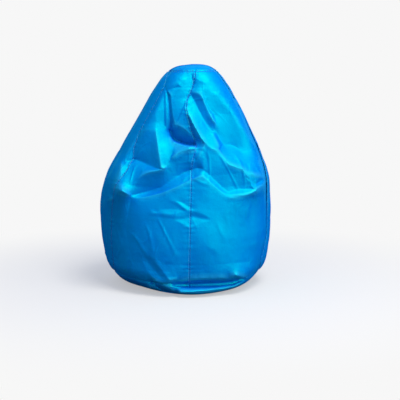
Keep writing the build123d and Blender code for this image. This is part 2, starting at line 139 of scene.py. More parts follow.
# Facets of the folded front, as the photograph shows them: how far each leans to the right and upwards,
# as slopes that the camera sees, and its corners as pixels across and down. Later ones lie over earlier
# ones.
FRONT_FACETS = {
    "left_flank": (-1.8, 0.2, [
        (171, 70), (165, 84), (160, 94.5), (152, 109), (145, 121), (138, 133.5), (131, 147), (124, 159),
        (121, 162.5), (118, 172), (115.5, 182), (114.5, 188), (112, 200), (104, 200), (103, 180),
        (108, 163), (121, 139), (133, 117), (147, 94), (160, 75), (167, 67)]),
    "right_plane": (0.18, -0.1, [
        (204, 66), (214, 68), (226, 80), (238, 100), (249, 122), (257, 140), (250, 150), (241, 152),
        (238, 148), (232, 145), (224, 145), (219, 138), (216, 128.5), (217, 124), (215.6, 118), (215, 113),
        (210, 109.5), (206, 101), (203.5, 91), (204, 88), (203.5, 78), (203, 68)]),
    "right_plane_top": (0.28, -0.22, [
        (204, 66), (214, 68), (226, 80), (238, 100), (243, 110), (230, 114), (215, 113), (210, 109.5),
        (206, 101), (203.5, 91), (204, 88), (203.5, 78), (203, 68)]),
    "patch_head": (0.05, 0.5, [(156, 103), (156, 118), (155.5, 130), (141, 130), (148, 117), (153, 108)]),
    "patch": (-0.5, 0.25, [
        (141, 130), (155.5, 130), (158, 150), (160, 168), (150, 166), (143, 162.5), (136, 159.8),
        (134, 157), (135.5, 148), (139, 138)]),
    "patch_side": (-0.7, 0.2, [(151, 136), (155.5, 130), (158, 150), (160.5, 168), (154, 167), (150, 152)]),
    "seam_strip": (-0.25, 0.4, [
        (139, 134), (135.5, 148), (133.5, 157), (128, 160.5), (121, 162.5), (131, 147)]),
    "band": (0.25, 0.9, [
        (165, 86), (167, 92), (168, 100), (169, 112), (169.5, 125), (170, 132), (172, 138), (174.5, 141),
        (174, 150), (171, 156), (168.5, 163), (165.5, 168), (161, 168.5), (158, 150), (155.5, 130),
        (156, 118), (155, 107), (160, 95)]),
    "band_top": (0.3, 1.2, [
        (160, 95), (165, 86), (167, 92), (168, 100), (168.6, 108), (156, 112), (155, 107)]),
    "band_groove": (-0.3, 0.4, [
        (164.2, 92), (165.6, 92), (166, 110), (166, 126), (164.5, 126), (164.4, 110)]),
    "ledge": (0.6, 1.25, [
        (121, 162.5), (128, 161), (134, 159), (136, 159.8), (143, 162.5), (150, 165.8), (157, 168.6),
        (163, 169.3), (157, 170.5), (150, 171.8), (143, 174.5), (138, 179), (134, 185), (131, 191),
        (130.5, 195.5), (126, 193), (122, 190.5), (115, 187.5), (116, 181), (119, 171)]),
    "hang": (-0.5, -1.0, [
        (130.5, 195.5), (131, 191), (134, 185), (138, 179), (143, 174.5), (150, 171.8), (157, 170.5),
        (163, 169.8), (166.5, 167.5), (169, 163), (172, 157.5), (177, 153), (184, 150), (190, 148.5),
        (195.5, 148), (195, 153), (193, 159), (191.5, 166), (190, 170), (184, 172.5), (178, 176),
        (170, 181.5), (162, 187), (155, 189.7), (146, 192), (137, 194.5)]),
    "hang_right": (-0.7, -1.3, [
        (166.5, 168), (169, 163.5), (172, 158), (177, 153.5), (184, 150.5), (190, 149), (191, 152),
        (184, 158), (178, 166), (171, 172)]),
    "smile_lip": (0.3, 0.8, [
        (130.5, 195.7), (137, 194.7), (146, 192.2), (155, 189.9), (162, 187.2), (170, 181.7), (178, 176.2),
        (184, 172.7), (190, 170.2), (197, 168), (203, 168.5), (203, 170.5), (197, 174), (192, 178),
        (186, 181), (178, 184.5), (171, 187.5), (163, 190.3), (155, 192.8), (146, 195.2), (138, 197)]),
    "slot": (-1.0, 0.0, [
        (167.6, 93), (170.8, 97.5), (171.2, 104), (172, 112), (173, 119), (174, 124), (172, 126),
        (170, 130), (169.6, 120), (169, 108), (168.2, 100)]),
    "slot_edge": (2.0, 0.5, [
        (167, 93), (167.6, 93), (168.2, 100), (169, 108), (169.6, 120), (170, 130), (169.3, 130),
        (168.8, 120), (168.2, 108), (167.5, 100)]),
    "top_left": (0.1, 0.25, [
        (171, 71), (178, 69), (187, 75), (191.3, 75), (193, 83), (191, 91), (180, 90), (171, 96), (168, 92),
        (174, 88), (181, 87), (175, 80), (166, 84)]),
    "tongue": (0.0, 0.2, [
        (171, 96), (180, 90), (190, 93), (187.5, 97), (186, 101), (183, 108), (180, 115), (177, 121),
        (175, 124.5), (173.3, 119), (172.3, 112), (171.5, 104)]),
    "tongue_right": (0.0, 0.05, [(183, 92), (190, 93), (187.5, 97), (186, 101), (182, 108), (181, 100)]),
    "tongue_foot": (-0.5, -0.9, [
        (187, 99), (186.3, 106), (187, 112), (188.5, 119), (190, 126), (193, 134), (192.5, 136.5),
        (187, 131), (181, 126.5), (175.5, 124.7), (177.5, 121.5), (180.5, 115), (183.5, 108)]),
    "pocket": (-1.1, -2.0, [
        (170, 130), (172, 126), (175, 124.7), (181, 126.5), (187, 131), (192.5, 136.5), (195, 142),
        (194.5, 144.3), (190, 144.8), (184, 143.5), (179, 142), (174.5, 140), (171.5, 136)]),
    "pocket_rim": (3.0, 12.0, [
        (170, 130), (171.5, 136), (174.5, 140), (179, 142), (184, 143.5), (190, 144.8), (194.5, 144.3),
        (195, 145.6), (190, 146.2), (184, 145), (178.6, 143.4), (173.7, 141.2), (170.6, 136.8),
        (169.2, 131)]),
    "under_pocket": (0.0, 0.3, [
        (174.5, 141.5), (179, 143.6), (184, 145.2), (190, 146.4), (195.5, 146.5), (195.5, 148),
        (190, 148.5), (184, 150), (177, 153), (174, 152)]),
    "seam_wedge": (-1.8, -0.6, [
        (187.5, 113), (190, 117), (193, 123.5), (197, 131), (201, 138), (205, 142.5), (200, 142.5),
        (196.5, 141), (193.5, 135), (191, 128), (189, 121)]),
    "seam_wedge_low": (-0.5, -0.2, [
        (196.5, 141), (200, 142.5), (205, 142.5), (203, 148), (199, 155), (195.5, 160), (193.5, 158),
        (195.3, 152), (196.3, 147)]),
    "middle_ridge": (0.25, 0.45, [
        (189.5, 96), (190.5, 93.5), (194, 100), (198, 108), (202, 116), (206, 124), (210, 129.5),
        (213, 133), (217, 141), (220, 148), (212, 148), (205, 142.5), (201, 138), (197, 131), (193, 123.5),
        (190, 117), (188, 110), (188.3, 103)]),
    "middle_hollow": (-0.3, -0.2, [
        (190.5, 93.5), (193, 92), (197, 92.5), (201, 95), (204, 101), (208, 109), (212, 116), (215, 121),
        (217, 124), (216, 128.5), (213, 131), (210, 129.5), (206, 124), (202, 116), (198, 108),
        (194, 100)]),
    "hollow_end": (-0.6, -0.35, [
        (207, 117), (212, 117.5), (216.5, 123.5), (215.5, 128), (211, 127.5), (206.5, 121)]),
    "thin_ridge": (0.7, 0.6, [
        (202, 91), (203.5, 91), (206, 101), (210, 109.5), (214, 117.5), (215, 113), (215.6, 118),
        (214.6, 121.5), (212, 117), (208, 109.5), (204, 101)]),
    "top_ridge": (0.2, 0.6, [
        (200, 67), (203, 68), (203.5, 78), (204, 88), (203, 91), (197, 92.5), (193, 92), (190.5, 93.5),
        (193, 88), (196, 82), (198.5, 75)]),
    "top_notch": (-1.0, 0.0, [
        (198, 70.5), (198.7, 75), (196, 80), (194, 83.5), (193, 83), (192.8, 79), (191.3, 75)]),
    "notch_tail": (-0.6, 0.0, [(194.4, 83), (192.4, 88), (190, 93), (190, 90.5), (192, 86), (193, 82)]),
    "cap_bright": (0.2, 0.6, [
        (177, 68), (183, 65.5), (186, 70), (187, 75), (186, 80), (180, 80), (178, 74)]),
    "cap_middle": (0.0, 0.2, [(184, 65), (200, 65), (198, 69), (194, 72), (188, 73), (186.5, 70)]),
    "dent": (-0.4, -0.25, [(165.5, 86), (172, 82.5), (173, 86.5), (170, 89.5), (167, 90)]),
    "dent_brow": (0.1, 0.6, [(166, 84.5), (170, 82), (175, 79.5), (175, 80.8), (171, 83), (166.5, 86)]),
    "dent_lip": (0.1, 0.7, [(168, 91), (174, 88.3), (181, 86.8), (181, 88.2), (175, 90.2), (170, 92.8)]),
    "right_shoulder": (0.35, 1.0, [
        (220, 148), (224, 145), (232, 145), (238, 148), (241, 152), (250, 156), (258, 160), (266, 167),
        (269.5, 175), (268, 181), (262, 177), (252, 173.5), (243, 169), (236, 166.5), (230, 165),
        (226, 161), (222, 155)]),
    "right_facet": (0.15, -0.25, [
        (205, 143.5), (212, 149), (220, 150.5), (222, 155), (226, 161), (230, 165), (236, 166.5),
        (243, 169), (247, 175), (250, 180.5), (253, 185.5), (250, 188.5), (243, 189), (237, 188.5),
        (230, 191.5), (228.5, 192.5), (222, 187.5), (214, 180), (206, 172.5), (203.5, 169.5), (205, 160),
        (205, 152)]),
    "right_upright": (0.3, 0.6, [
        (205, 143.5), (206.4, 152), (206.4, 162), (205.6, 169), (203, 170), (202.4, 168), (203.4, 158),
        (203.8, 150)]),
    "right_lip": (0.35, 0.8, [
        (203.5, 170), (206, 172.5), (214, 180), (222, 187.5), (228.5, 192.7), (237, 189), (243, 189.3),
        (250, 188.8), (256, 188.5), (256, 190.5), (250, 193.5), (243, 195), (236, 195), (229, 194.6),
        (222, 190), (214, 182.4), (206, 174.6)]),
    "right_wedge": (0.35, 0.8, [
        (246, 177), (250, 180), (254, 184.5), (256.5, 184.5), (262, 179.5), (268.5, 181.5), (262, 186),
        (256, 189), (252, 187.5), (250, 182)]),
    "wrinkle_brow": (-0.1, -0.4, [
        (168, 200.5), (175, 202), (181, 205.5), (187, 210.5), (184, 211), (178, 207.5), (172, 203.5)]),
    "wrinkle_top": (0.1, 0.35, [
        (176, 201), (182, 202.5), (188, 206), (193, 209.5), (187, 210.3), (181, 205.3)]),
    "wrinkle_left": (0.0, 0.2, [
        (150, 211), (156, 211.5), (164, 209.5), (172, 209), (180, 209.8), (184, 211.3), (178, 213.3),
        (170, 214.5), (162, 213), (155, 213)]),
    "wrinkle_under": (-0.1, -0.35, [
        (150, 213.5), (160, 214.5), (170, 216.5), (178, 217), (190, 214), (186, 218), (176, 219),
        (164, 218), (154, 216)]),
    "wrinkle_low": (0.1, 0.15, [
        (176, 220.5), (184, 219), (192, 216.5), (200, 218.5), (210, 220.5), (204, 222.5), (196, 225),
        (190, 228.5), (184, 225)]),
    "wrinkle_right": (0.0, -0.4, [
        (190, 211.5), (196, 212), (203, 214.5), (210, 218.5), (204, 218.5), (196, 216.5), (190, 215)]),
    "foot_groove": (0.0, -3.5, [
        (175, 282.5), (185, 280.5), (195, 279), (210, 278.5), (222, 278), (228, 278.5), (232, 276.5),
        (236, 275), (240, 276.5), (248, 278.5), (246, 279.8), (238, 279.5), (230, 281), (222, 282.5),
        (210, 283), (195, 283.6), (183, 284), (176, 283.5)]),
    "foot_strip": (0.3, 1.6, [
        (176, 284), (183, 284.6), (195, 284.2), (210, 283.6), (222, 283.1), (230, 281.5), (238, 280),
        (248, 280.2), (251, 281.5), (240, 285), (225, 287.5), (210, 290), (195, 291.5), (180, 292.5),
        (179, 290), (182, 287)]),
    "foot_tuck": (-0.8, -3.5, [
        (152, 281), (156, 280.5), (163, 285), (170, 288.5), (175, 291.5), (176, 294), (170, 293),
        (164, 290), (158, 286.5)]),
    "foot_tuck_roll": (0.2, 1.2, [
        (149, 283), (152, 281.5), (158, 287), (164, 290.5), (168, 292.5), (158, 292), (150, 290.5)]),
    "foot_pleat": (-0.75, -0.4, [
        (145, 257), (151, 258), (158, 266), (164, 273), (170, 280), (166, 279.5), (158, 273), (151, 265)]),
    "foot_pleat_left": (-0.25, -0.2, [
        (142, 261), (147, 262), (152, 268), (158, 274), (164, 280), (158, 280.5), (152, 277), (147, 270)]),
    "foot_pleat_right": (-0.15, -0.25, [
        (155, 257), (162, 262), (170, 272), (176, 279), (171, 280), (164, 272), (157, 263)]),
}
# The facets are laid over this part of the picture, in cells finer than its pixels. Cloth between them
# gives, with this slack for its stiffness, and their folds fade out within a reach in millimetres. The
# passes that raise the cloth go by the cells that they take together and their rounds.
PICTURE_CORNER = (70.0, 40.0)
PICTURE_SPAN = (240.0, 272.0)
PICTURE_CELL = 1 / 3
RAISE_PASSES = [(16, 600), (8, 300), (4, 150), (2, 80), (1, 40)]
FOLD_REACH = 260.0
SLACK = 0.1
# The full belly below the lips keeps the bag's own round, half as stiff as a facet. It leans down at its
# top, by a slope that is full at one height of the picture and gone at another.
BELLY = [
    (131, 199), (146, 197), (163, 193), (178, 187), (191, 180), (203, 176), (214, 186), (229, 198),
    (243, 198), (252, 197), (250, 220), (248, 262), (190, 266), (132, 262), (126, 230),
]
BELLY_STIFFNESS = 0.5
BELLY_NOD = -0.42
BELLY_NOD_TOP = 178.0
BELLY_NOD_FOOT = 232.0
# The whole front stands out by its fullness. Folds rise freely up to a height and then little more, in
# millimetres, and their creases are softened over some pixels.
FRONT_FULLNESS = 25.0
RISE_FREE = 64.0
RISE_REST = 22.0
CREASE_SOFTNESS = 0.35
# Facets make up for the bag's round up to its steepest slope here, worked out in some rounds
STEEPEST_BODY = 1.2
BODY_ROUNDS = 4
# Front folds fade out where the cloth turns away from the camera, between two cosines, and where it meets
# the floor
FACING = (0.02, 0.3)
FRONT_FULL_Z = 18.0
LUMPS_FULL_Z = 40.0
# Crests of the folds, rubbed and given a painted highlight: how far they stand out of the cloth around them
CREST_SPREAD = 7
CREST_HEIGHT = 6.0

# Folds of the gores that the photograph doesn't show: each hangs between its seams as the front ones do.
# Heights up the bag, depths and jitter are in millimetres, turns are in degrees, and places across a gore
# are shares of it.
BACK_GORES = ["right", "back_right", "back_left", "left"]
FOLD_JITTER = 22.0
FOLD_TURN_JITTER = 4.0
FOLD_SEED = 11
HANG_Z = 565.0
HANG_SAG = 70.0
HANG_DEPTH = 22.0
HANG_DEPTH_JITTER = 5.0
HANG_LEDGE = 85.0
HANG_LIP = 20.0
HANG_LIP_RISE = 5.0
HANG_ENDS = (0.04, 0.96)
HANG_POINTS = 9
# Pleats below the cap: place, lean and share of the full length, then the ridge's height and the valley's
# share of its depth along them
PLEATS = [(0.16, 8, 1.0), (0.46, -7, 0.75), (0.78, -6, 0.95)]
PLEAT_COURSE = [(0, 2, 0), (0.3, 10, 1), (0.65, 12, 1), (1, 0, 0)]
PLEAT_TOP = 955.0
PLEAT_TOP_JITTER = 12.0
PLEAT_LENGTH = 290.0
PLEAT_DEPTH = 16.0
PLEAT_WIDTH = 7.0
PLEAT_SPREAD = 3.0
# Folds above the foot: place and lean, then the ridge and the valley beside it by turn, top, middle and
# way
FOOT_FOLDS = [(0.25, 6), (0.62, -8)]
FOOT_FOLD_COURSES = [(0, 190, 130, 1), (5, 180, 125, -1)]
FOOT_FOLD_RISE = 8.0
FOOT_FOLD_JITTER = 3.0
FOOT_FOLD_END = 72.0
# A ridge and a valley across the belly of the gore: place, height from the level below and rise
BELLY_CREASE_Z = 400.0
BELLY_CREASES = [
    [(0.2, 0, 0), (0.42, -14, 5), (0.6, -8, 0)],
    [(0.22, -20, 0), (0.44, -34, -5), (0.62, -26, 0)],
]
# The sheet that these folds are drawn on, in cells, held flat at its ends and along the lower seams. It
# starts some degrees from the front, and a degree of turn is drawn as some millimetres.
STRETCH_PASSES = [(8, 200), (4, 150), (2, 100), (1, 60)]
BACK_CELL = 4.0
BACK_SOFTNESS = 1.6
BACK_TOP = 1040.0
BACK_ENDS = (0, 1000)
BACK_SEAM_HELD = (60, 500)
BACK_START = 94.0
BACK_FULL = 112.0
DEGREE_WIDTH = 6.0

# Height of the uneven filling under the cloth: wavelength and depth in millimetres
LUMPS = [(300.0, 2.0), (150.0, 0.8), (70.0, 0.2)]
LUMP_SEED = 7
# Wrinkles of the cloth: wavelength and depth in millimetres, and how thin their ridges are. They come and
# go with a slower wave.
WRINKLES = [(170.0, 1.9, 0.2), (90.0, 1.0, 0.22)]
WRINKLE_SPACING = 240.0
WRINKLE_PRESENCE = (-0.2, 0.9)
WRINKLE_SEED = 5
# Waves in each sum, and the height that brings the sum to about 1
WAVES = 7
WAVES_HEIGHT = 2.6

# Base: the zip sits in a raised recess, and the cloth stops short of the chain on both sides
RECESS_LENGTH = 464.0
RECESS_WIDTH = 52.0
RECESS_DEPTH = 12.0
RECESS_EASE = 3.0
SLOT_HALF = 8.0
SLOT_REACH = 209.6
SLOT_EASE = 3.0
FLOOR_ROWS = 44
FLOOR_CROWDING = 1.5

# Liner and filling: how far inside the folded cover they lie, taking its innermost place within a reach
# of rows and columns
LINER_CLEAR = 18.0
LINER_TOP = 975.0
LINER_UNDER_TAPE = 0.5
FILL_CLEAR = 9.0
FILL_TOP = 860.0
FILL_BOTTOM = 25.5
FILL_DOME = 12
FILL_FLOOR_RINGS = 12
FILL_LUMP = 0.5
FILL_LUMP_CROWDING = 2.5
INNER_ROW_STEP = 5
INNER_COLUMN_STEP = 6
INNER_REACH = 24

# Zip coils: pitch of the wound filament and its radius
COIL_PITCH = 1.4
COIL_FILAMENT = 0.32
COIL_POINTS = 10
COIL_SIDES = 5

# Coated nylon: shades of the dyed cloth, its rubbed crests lightened by painted highlight, and the shine of
# its coat, which takes a share of the surface
BODY_DARK = "#0034EA"
BODY_LIGHT = "#003CF0"
BODY_STREAK = "#0030E2"
# Lighter azure of the rubbed crests, which also paints a highlight on the folds
BODY_RUBBED_HIGHLIGHT = "#3098F4"
SHINE = "#00FFA0"
SHINE_EDGE = "#00A0F0"
SHINE_SHARE = 0.32
# Its threads are 0.45 mm apart, drawn coarser so that the weave shows. Small crinkles, creases pressed in
# when the cloth was folded, patches of dye and streaks of yarn are in millimetres too.
WEAVE_PITCH = 2.4
CRINKLE_SIZE = 34.0
CREASE_SIZE = 85.0
DYE_PATCH = 150.0
STREAK_WIDTH = 3.0
STREAK_LENGTH = 90.0
# Patterns of the other materials, in millimetres. The liner's threads are 0.3 mm apart and the tapes' 0.5
# mm, drawn coarser so that they show.
LINER_PITCH = 1.2
LINER_RELIEF = 0.3
TAPE_PITCH = 0.8
TAPE_RELIEF = 0.25
PLY_PITCH = 0.9
DRAWN_MARK = 1.2
PEEL_SIZE = 0.8
FLECK_SIZE = 2.2
BEAD_SIZE = 4.0
# Bands of a wave texture along an axis are this far apart at scale 1, and diagonal ones a little more
WAVE_BANDS = 0.314
# Sockets of a colour mix: its two colours, and the mixed one
COLOUR_A = 6
COLOUR_B = 7
MIXED = 2

# Stage, in metres. The floor shows paint and shadow near the bag and passes into the background further
# out.
FLOOR_REACH = 40.0
FLOOR_DROP = 0.0006
FLOOR_GLOW = 0.45
FLOOR_NEAR = 0.5
FLOOR_FAR = 1.7
FLOOR_PAINT = "#E0E0E0"
FLOOR_BOUNCE = "#606870"
BACKGROUND = "#F7F7F7"
# Shares of floor and background that reflections show: with more, the broad gloss of the nylon washes out
FLOOR_IN_GLOSS = 0.12
ROOM_IN_GLOSS = 0.05
# Light of the room from the left and from the right, and how far round one passes into the other
ROOM_LEFT = 0.63
ROOM_RIGHT = 0.58
ROOM_TURN = 0.6
ROOM_LIGHT = "#D0DCFF"
# Soft boxes: place, side and power in watts
SOFT_BOXES = [
    ("key_box", (1.5, -2.7, 5.4), 2.4, 260.0),
    ("fill_box", (3.9, -3.5, 0.8), 5.0, 250.0),
]
BOX_LIGHT = "#FFFCF4"
BOX_AIM = (0.0, 0.0, 0.5)


def srgb(code):
    """Linear colour of an sRGB hex value."""
    channels = [int(code[i:i + 2], 16) / 255 for i in (1, 3, 5)]
    linear = [c / 12.92 if c <= 0.04045 else ((c + 0.055) / 1.055) ** 2.4 for c in channels]
    return (*linear, 1.0)


def smoothstep(low, high, value):
    """A soft step from 0 at low to 1 at high."""
    t = np.clip((value - low) / (high - low), 0, 1)
    return t * t * (3 - 2 * t)


def at_height(table, z):
    """Values at heights, from a table of heights and values."""
    heights, values = zip(*table)
    return np.interp(z, heights, values)


def smoothed(values, rounds):
    """Values along a line with their corners worn off, the ends held."""
    for _ in range(rounds):
        values[1:-1] = 0.25 * values[:-2] + 0.5 * values[1:-1] + 0.25 * values[2:]
    return values


def blurred(heights, spread):
    """A raster softened by a bell curve of the given spread in cells."""
    down = np.fft.fftfreq(heights.shape[0])
    across = np.fft.fftfreq(heights.shape[1])
    bell = np.exp(-2 * (pi * spread) ** 2 * (down[:, None] ** 2 + across[None, :] ** 2))
    return np.fft.ifft2(np.fft.fft2(heights) * bell).real


def doubled(heights):
    """A raster drawn again with cells of half the size."""
    return heights.repeat(2, axis=0).repeat(2, axis=1)


def coarsened(field, size):
    """Means over blocks of cells."""
    rows, columns = (length // size for length in field.shape)
    return field.reshape(rows, size, columns, size).mean(axis=(1, 3))


def height_at(heights, corner, cell, x, y):
    """Heights of a raster of cells at places, drawn between the cells."""
    x = np.clip((x - corner[0]) / cell - 0.5, 0, heights.shape[1] - 1.001)
    y = np.clip((y - corner[1]) / cell - 0.5, 0, heights.shape[0] - 1.001)
    i = x.astype(int)
    j = y.astype(int)
    u = x - i
    v = y - j
    upper = heights[j, i] * (1 - u) + heights[j, i + 1] * u
    lower = heights[j + 1, i] * (1 - u) + heights[j + 1, i + 1] * u
    return upper * (1 - v) + lower * v


def camera_place():
    """Where the camera stands, in millimetres, with the ways back to it and up its picture."""
    tilt = radians(CAMERA_ELEVATION)
    back = np.array([0, -cos(tilt), sin(tilt)])
    up = np.array([0, sin(tilt), cos(tilt)])
    return np.array(CAMERA_AIM) + CAMERA_DISTANCE * back, back, up


def in_picture(points):
    """Pixels across and down at which the photograph's camera sees points."""
    place, back, up = camera_place()
    seen = points - place
    depth = -(seen @ back)
    across = PICTURE_SIDE / 2 + CAMERA_FOCAL * seen[..., 0] / depth
    down = PICTURE_SIDE / 2 - CAMERA_FOCAL * (seen @ up) / depth
    return across, down


def stretched_cloth(creases, corner, span, cell):
    """Heights of cloth stretched between creases, over cells, worked out from coarse to fine."""
    coarsest = STRETCH_PASSES[0][0]
    columns, rows = (ceil(length / cell / coarsest) for length in span)
    heights = np.zeros((rows, columns))
    for coarse, rounds in STRETCH_PASSES:
        if coarse < coarsest:
            heights = doubled(heights)
        total = np.zeros(heights.shape)
        count = np.zeros(heights.shape)
        for line in creases:
            for (x0, y0, h0), (x1, y1, h1) in zip(line, line[1:]):
                t = np.linspace(0, 1, 2 + int(3 * hypot(x1 - x0, y1 - y0) / (cell * coarse)))
                i = ((x0 + (x1 - x0) * t - corner[0]) / (cell * coarse)).astype(int)
                j = ((y0 + (y1 - y0) * t - corner[1]) / (cell * coarse)).astype(int)
                i = np.clip(i, 0, heights.shape[1] - 1)
                j = np.clip(j, 0, heights.shape[0] - 1)
                np.add.at(total, (j, i), h0 + (h1 - h0) * t)
                np.add.at(count, (j, i), 1)
        held = count > 0
        fixed = total[held] / count[held]
        for _ in range(rounds):
            edged = np.pad(heights, 1, mode="edge")
            heights = 0.25 * (edged[:-2, 1:-1] + edged[2:, 1:-1] + edged[1:-1, :-2] + edged[1:-1, 2:])
            heights[held] = fixed
    return heights


def within(corners, x, y):
    """Whether places lie inside a polygon."""
    found = np.zeros(x.shape, bool)
    for (x0, y0), (x1, y1) in zip(corners, corners[1:] + corners[:1]):
        if y0 != y1:
            found ^= ((y0 > y) != (y1 > y)) & (x < x0 + (x1 - x0) * (y - y0) / (y1 - y0))
    return found


def body_slopes(x, y, step):
    """How fast the unfolded bag comes towards the camera, across and down the picture."""
    tilt = radians(CAMERA_ELEVATION)
    side = (x - PICTURE_SIDE / 2) * PIXEL + CAMERA_AIM[0]
    high = (PICTURE_SIDE / 2 - y) * PIXEL
    z = CAMERA_AIM[2] + high
    for _ in range(BODY_ROUNDS):
        out = np.sqrt(np.maximum(at_height(OUTLINE, z) ** 2 - (side - at_height(LEAN, z)) ** 2, 0))
        z = CAMERA_AIM[2] + (high + out * sin(tilt)) / cos(tilt)
    slopes = np.gradient(out * cos(tilt) + z * sin(tilt), step)
    down, across = (np.clip(slope, -STEEPEST_BODY, STEEPEST_BODY) for slope in slopes)
    return across, down


def raised_cloth(across, down, stiffness, step):
    """Heights of cloth with slopes across and down, from coarse to fine: where it isn't stiff, it gives."""
    coarsest = RAISE_PASSES[0][0]
    heights = np.zeros([length // coarsest for length in across.shape])
    for size, rounds in RAISE_PASSES:
        stiff = coarsened(stiffness, size)
        lean = coarsened(across, size) * step * size
        fall = coarsened(down, size) * step * size
        tie_across = np.sqrt(stiff[:, 1:] * stiff[:, :-1])
        tie_down = np.sqrt(stiff[1:] * stiff[:-1])
        rise_across = (lean[:, 1:] + lean[:, :-1]) / 2
        rise_down = (fall[1:] + fall[:-1]) / 2
        total = np.full(stiff.shape, SLACK * (step * size / FOLD_REACH) ** 2)
        total[:, 1:] += tie_across
        total[:, :-1] += tie_across
        total[1:] += tie_down
        total[:-1] += tie_down
        if size < coarsest:
            heights = doubled(heights)
        for _ in range(rounds):
            pull = np.zeros(heights.shape)
            pull[:, :-1] += tie_across * (heights[:, 1:] - rise_across)
            pull[:, 1:] += tie_across * (heights[:, :-1] + rise_across)
            pull[:-1] += tie_down * (heights[1:] - rise_down)
            pull[1:] += tie_down * (heights[:-1] + rise_down)
            heights = pull / total
    return heights


def front_folds(points):
    """How far the front's facets stand towards the camera, at points of the unfolded cover."""
    columns, rows = (round(span / PICTURE_CELL) for span in PICTURE_SPAN)
    x, y = np.meshgrid(
        PICTURE_CORNER[0] + (np.arange(columns) + 0.5) * PICTURE_CELL,
        PICTURE_CORNER[1] + (np.arange(rows) + 0.5) * PICTURE_CELL)
    step = PICTURE_CELL * PIXEL
    body_across, body_down = body_slopes(x, y, step)
    across = np.zeros(x.shape)
    down = np.zeros(x.shape)
    stiffness = np.full(x.shape, SLACK)
    belly = within(BELLY, x, y)
    stiffness[belly] = BELLY_STIFFNESS
    nod = (BELLY_NOD_FOOT - y) / (BELLY_NOD_FOOT - BELLY_NOD_TOP)
    down[belly] = BELLY_NOD * np.clip(nod, 0, 1)[belly]
    for right, up, corners in FRONT_FACETS.values():
        inside = within(corners, x, y)
        across[inside] = -right - body_across[inside]
        down[inside] = up - body_down[inside]
        stiffness[inside] = 1
    sheet = raised_cloth(across, down, stiffness, step)
    sheet = blurred(sheet, CREASE_SOFTNESS / PICTURE_CELL) + FRONT_FULLNESS
    over = np.maximum(sheet - RISE_FREE, 0)
    sheet = np.minimum(sheet, RISE_FREE) + RISE_REST * np.tanh(over / RISE_REST)
    return height_at(sheet, PICTURE_CORNER, PICTURE_CELL, *in_picture(points))


def gore_creases(start, chance):
    """Creases of the gore that starts at a turn of so many degrees: a hanging fold, pleats and foot folds."""
    def near(spread=FOLD_JITTER):
        return chance.uniform(-spread, spread)

    def turned(share):
        return start + 60 * share

    level = HANG_Z + near()
    tilt = near()
    sag = HANG_SAG + near()
    depth = HANG_DEPTH + near(HANG_DEPTH_JITTER)
    valley = []
    ledge = []
    lip = []
    for t in np.linspace(*HANG_ENDS, HANG_POINTS):
        hang = level + tilt * (t - 0.5) - sag * 4 * t * (1 - t)
        swell = sin(pi * t)
        valley.append((turned(t), hang, -depth * swell))
        lip.append((turned(t), hang - HANG_LIP, HANG_LIP_RISE * swell))
        ledge.append((turned(t), hang + HANG_LEDGE * (0.35 + 0.65 * swell), depth * swell ** 2))
    creases = [valley, ledge, lip]
    for at, lean, length in PLEATS:
        turn = turned(at) + near(FOLD_TURN_JITTER)
        top = PLEAT_TOP + near(PLEAT_TOP_JITTER)
        foot = top - PLEAT_LENGTH * length + near()
        deep = PLEAT_DEPTH * chance.uniform(0.6, 1.1)
        rise = []
        fall = []
        for share, height, valley_share in PLEAT_COURSE:
            place = turn + lean * share
            z = top + (foot - top) * share
            rise.append((place, z, height))
            fall.append((place + PLEAT_WIDTH + PLEAT_SPREAD * share, z, -deep * valley_share))
        creases += [rise, fall]
    for at, lean in FOOT_FOLDS:
        turn = turned(at) + near(FOLD_TURN_JITTER)
        rise = FOOT_FOLD_RISE + near(FOOT_FOLD_JITTER)
        for aside, top, middle, way in FOOT_FOLD_COURSES:
            creases.append([
                (turn + aside, top + near(), 0),
                (turn + aside + lean / 2, middle, way * rise),
                (turn + aside + lean, FOOT_FOLD_END, way * FOOT_FOLD_RISE / 2)])
    middle = BELLY_CREASE_Z + near()
    for course in BELLY_CREASES:
        creases.append([(turned(t), middle + above, height) for t, above, height in course])
    return creases


def back_folds(points, turn):
    """How far the folds of the sides and back stand out, at points of the unfolded cover."""
    chance = np.random.default_rng(FOLD_SEED)
    creases = [[(0, z, 0), (360, z, 0)] for z in BACK_ENDS]
    for name in BACK_GORES:
        creases += gore_creases(60 * GORE_NAMES.index(name), chance)
    for i in range(1, 6):
        creases.append([(60 * i, z, 0) for z in BACK_SEAM_HELD])
    creases = [[(t * DEGREE_WIDTH, z, h) for t, z, h in line] for line in creases]
    span = (360 * DEGREE_WIDTH, BACK_TOP)
    sheet = blurred(stretched_cloth(creases, (0, 0), span, BACK_CELL), BACK_SOFTNESS)
    degrees = np.mod(np.degrees(turn), 360)
    height = height_at(sheet, (0, 0), BACK_CELL, degrees * DEGREE_WIDTH, points[..., 2])
    from_front = np.minimum(degrees, 360 - degrees)
    return height * smoothstep(BACK_START, BACK_FULL, from_front)


def wave_sum(points, wavelength, chance):
    """Waves in seeded directions over points, about 1 high together."""
    height = np.zeros(points.shape[:2])
    for _ in range(WAVES):
        way = chance.normal(size=3)
        way /= np.linalg.norm(way)
        phase = chance.uniform(0, 2 * pi)
        stretch = chance.uniform(0.7, 1.4)
        height += np.sin(points @ way * (2 * pi / (wavelength * stretch)) + phase)
    return height / WAVES_HEIGHT


def lump_height(points):
    """Soft lumps of the filling."""
    chance = np.random.default_rng(LUMP_SEED)
    return sum(depth * wave_sum(points, wavelength, chance) for wavelength, depth in LUMPS)


def wrinkle_height(points):
    """Fine sharp wrinkles of the coated cloth: thin ridges that come and go."""
    chance = np.random.default_rng(WRINKLE_SEED)
    height = np.zeros(points.shape[:2])
    for wavelength, depth, width in WRINKLES:
        ridge = wave_sum(points, wavelength, chance)
        present = wave_sum(points, WRINKLE_SPACING, chance)
        height += depth * np.exp(-(ridge / width) ** 2) * smoothstep(*WRINKLE_PRESENCE, present)
    return height


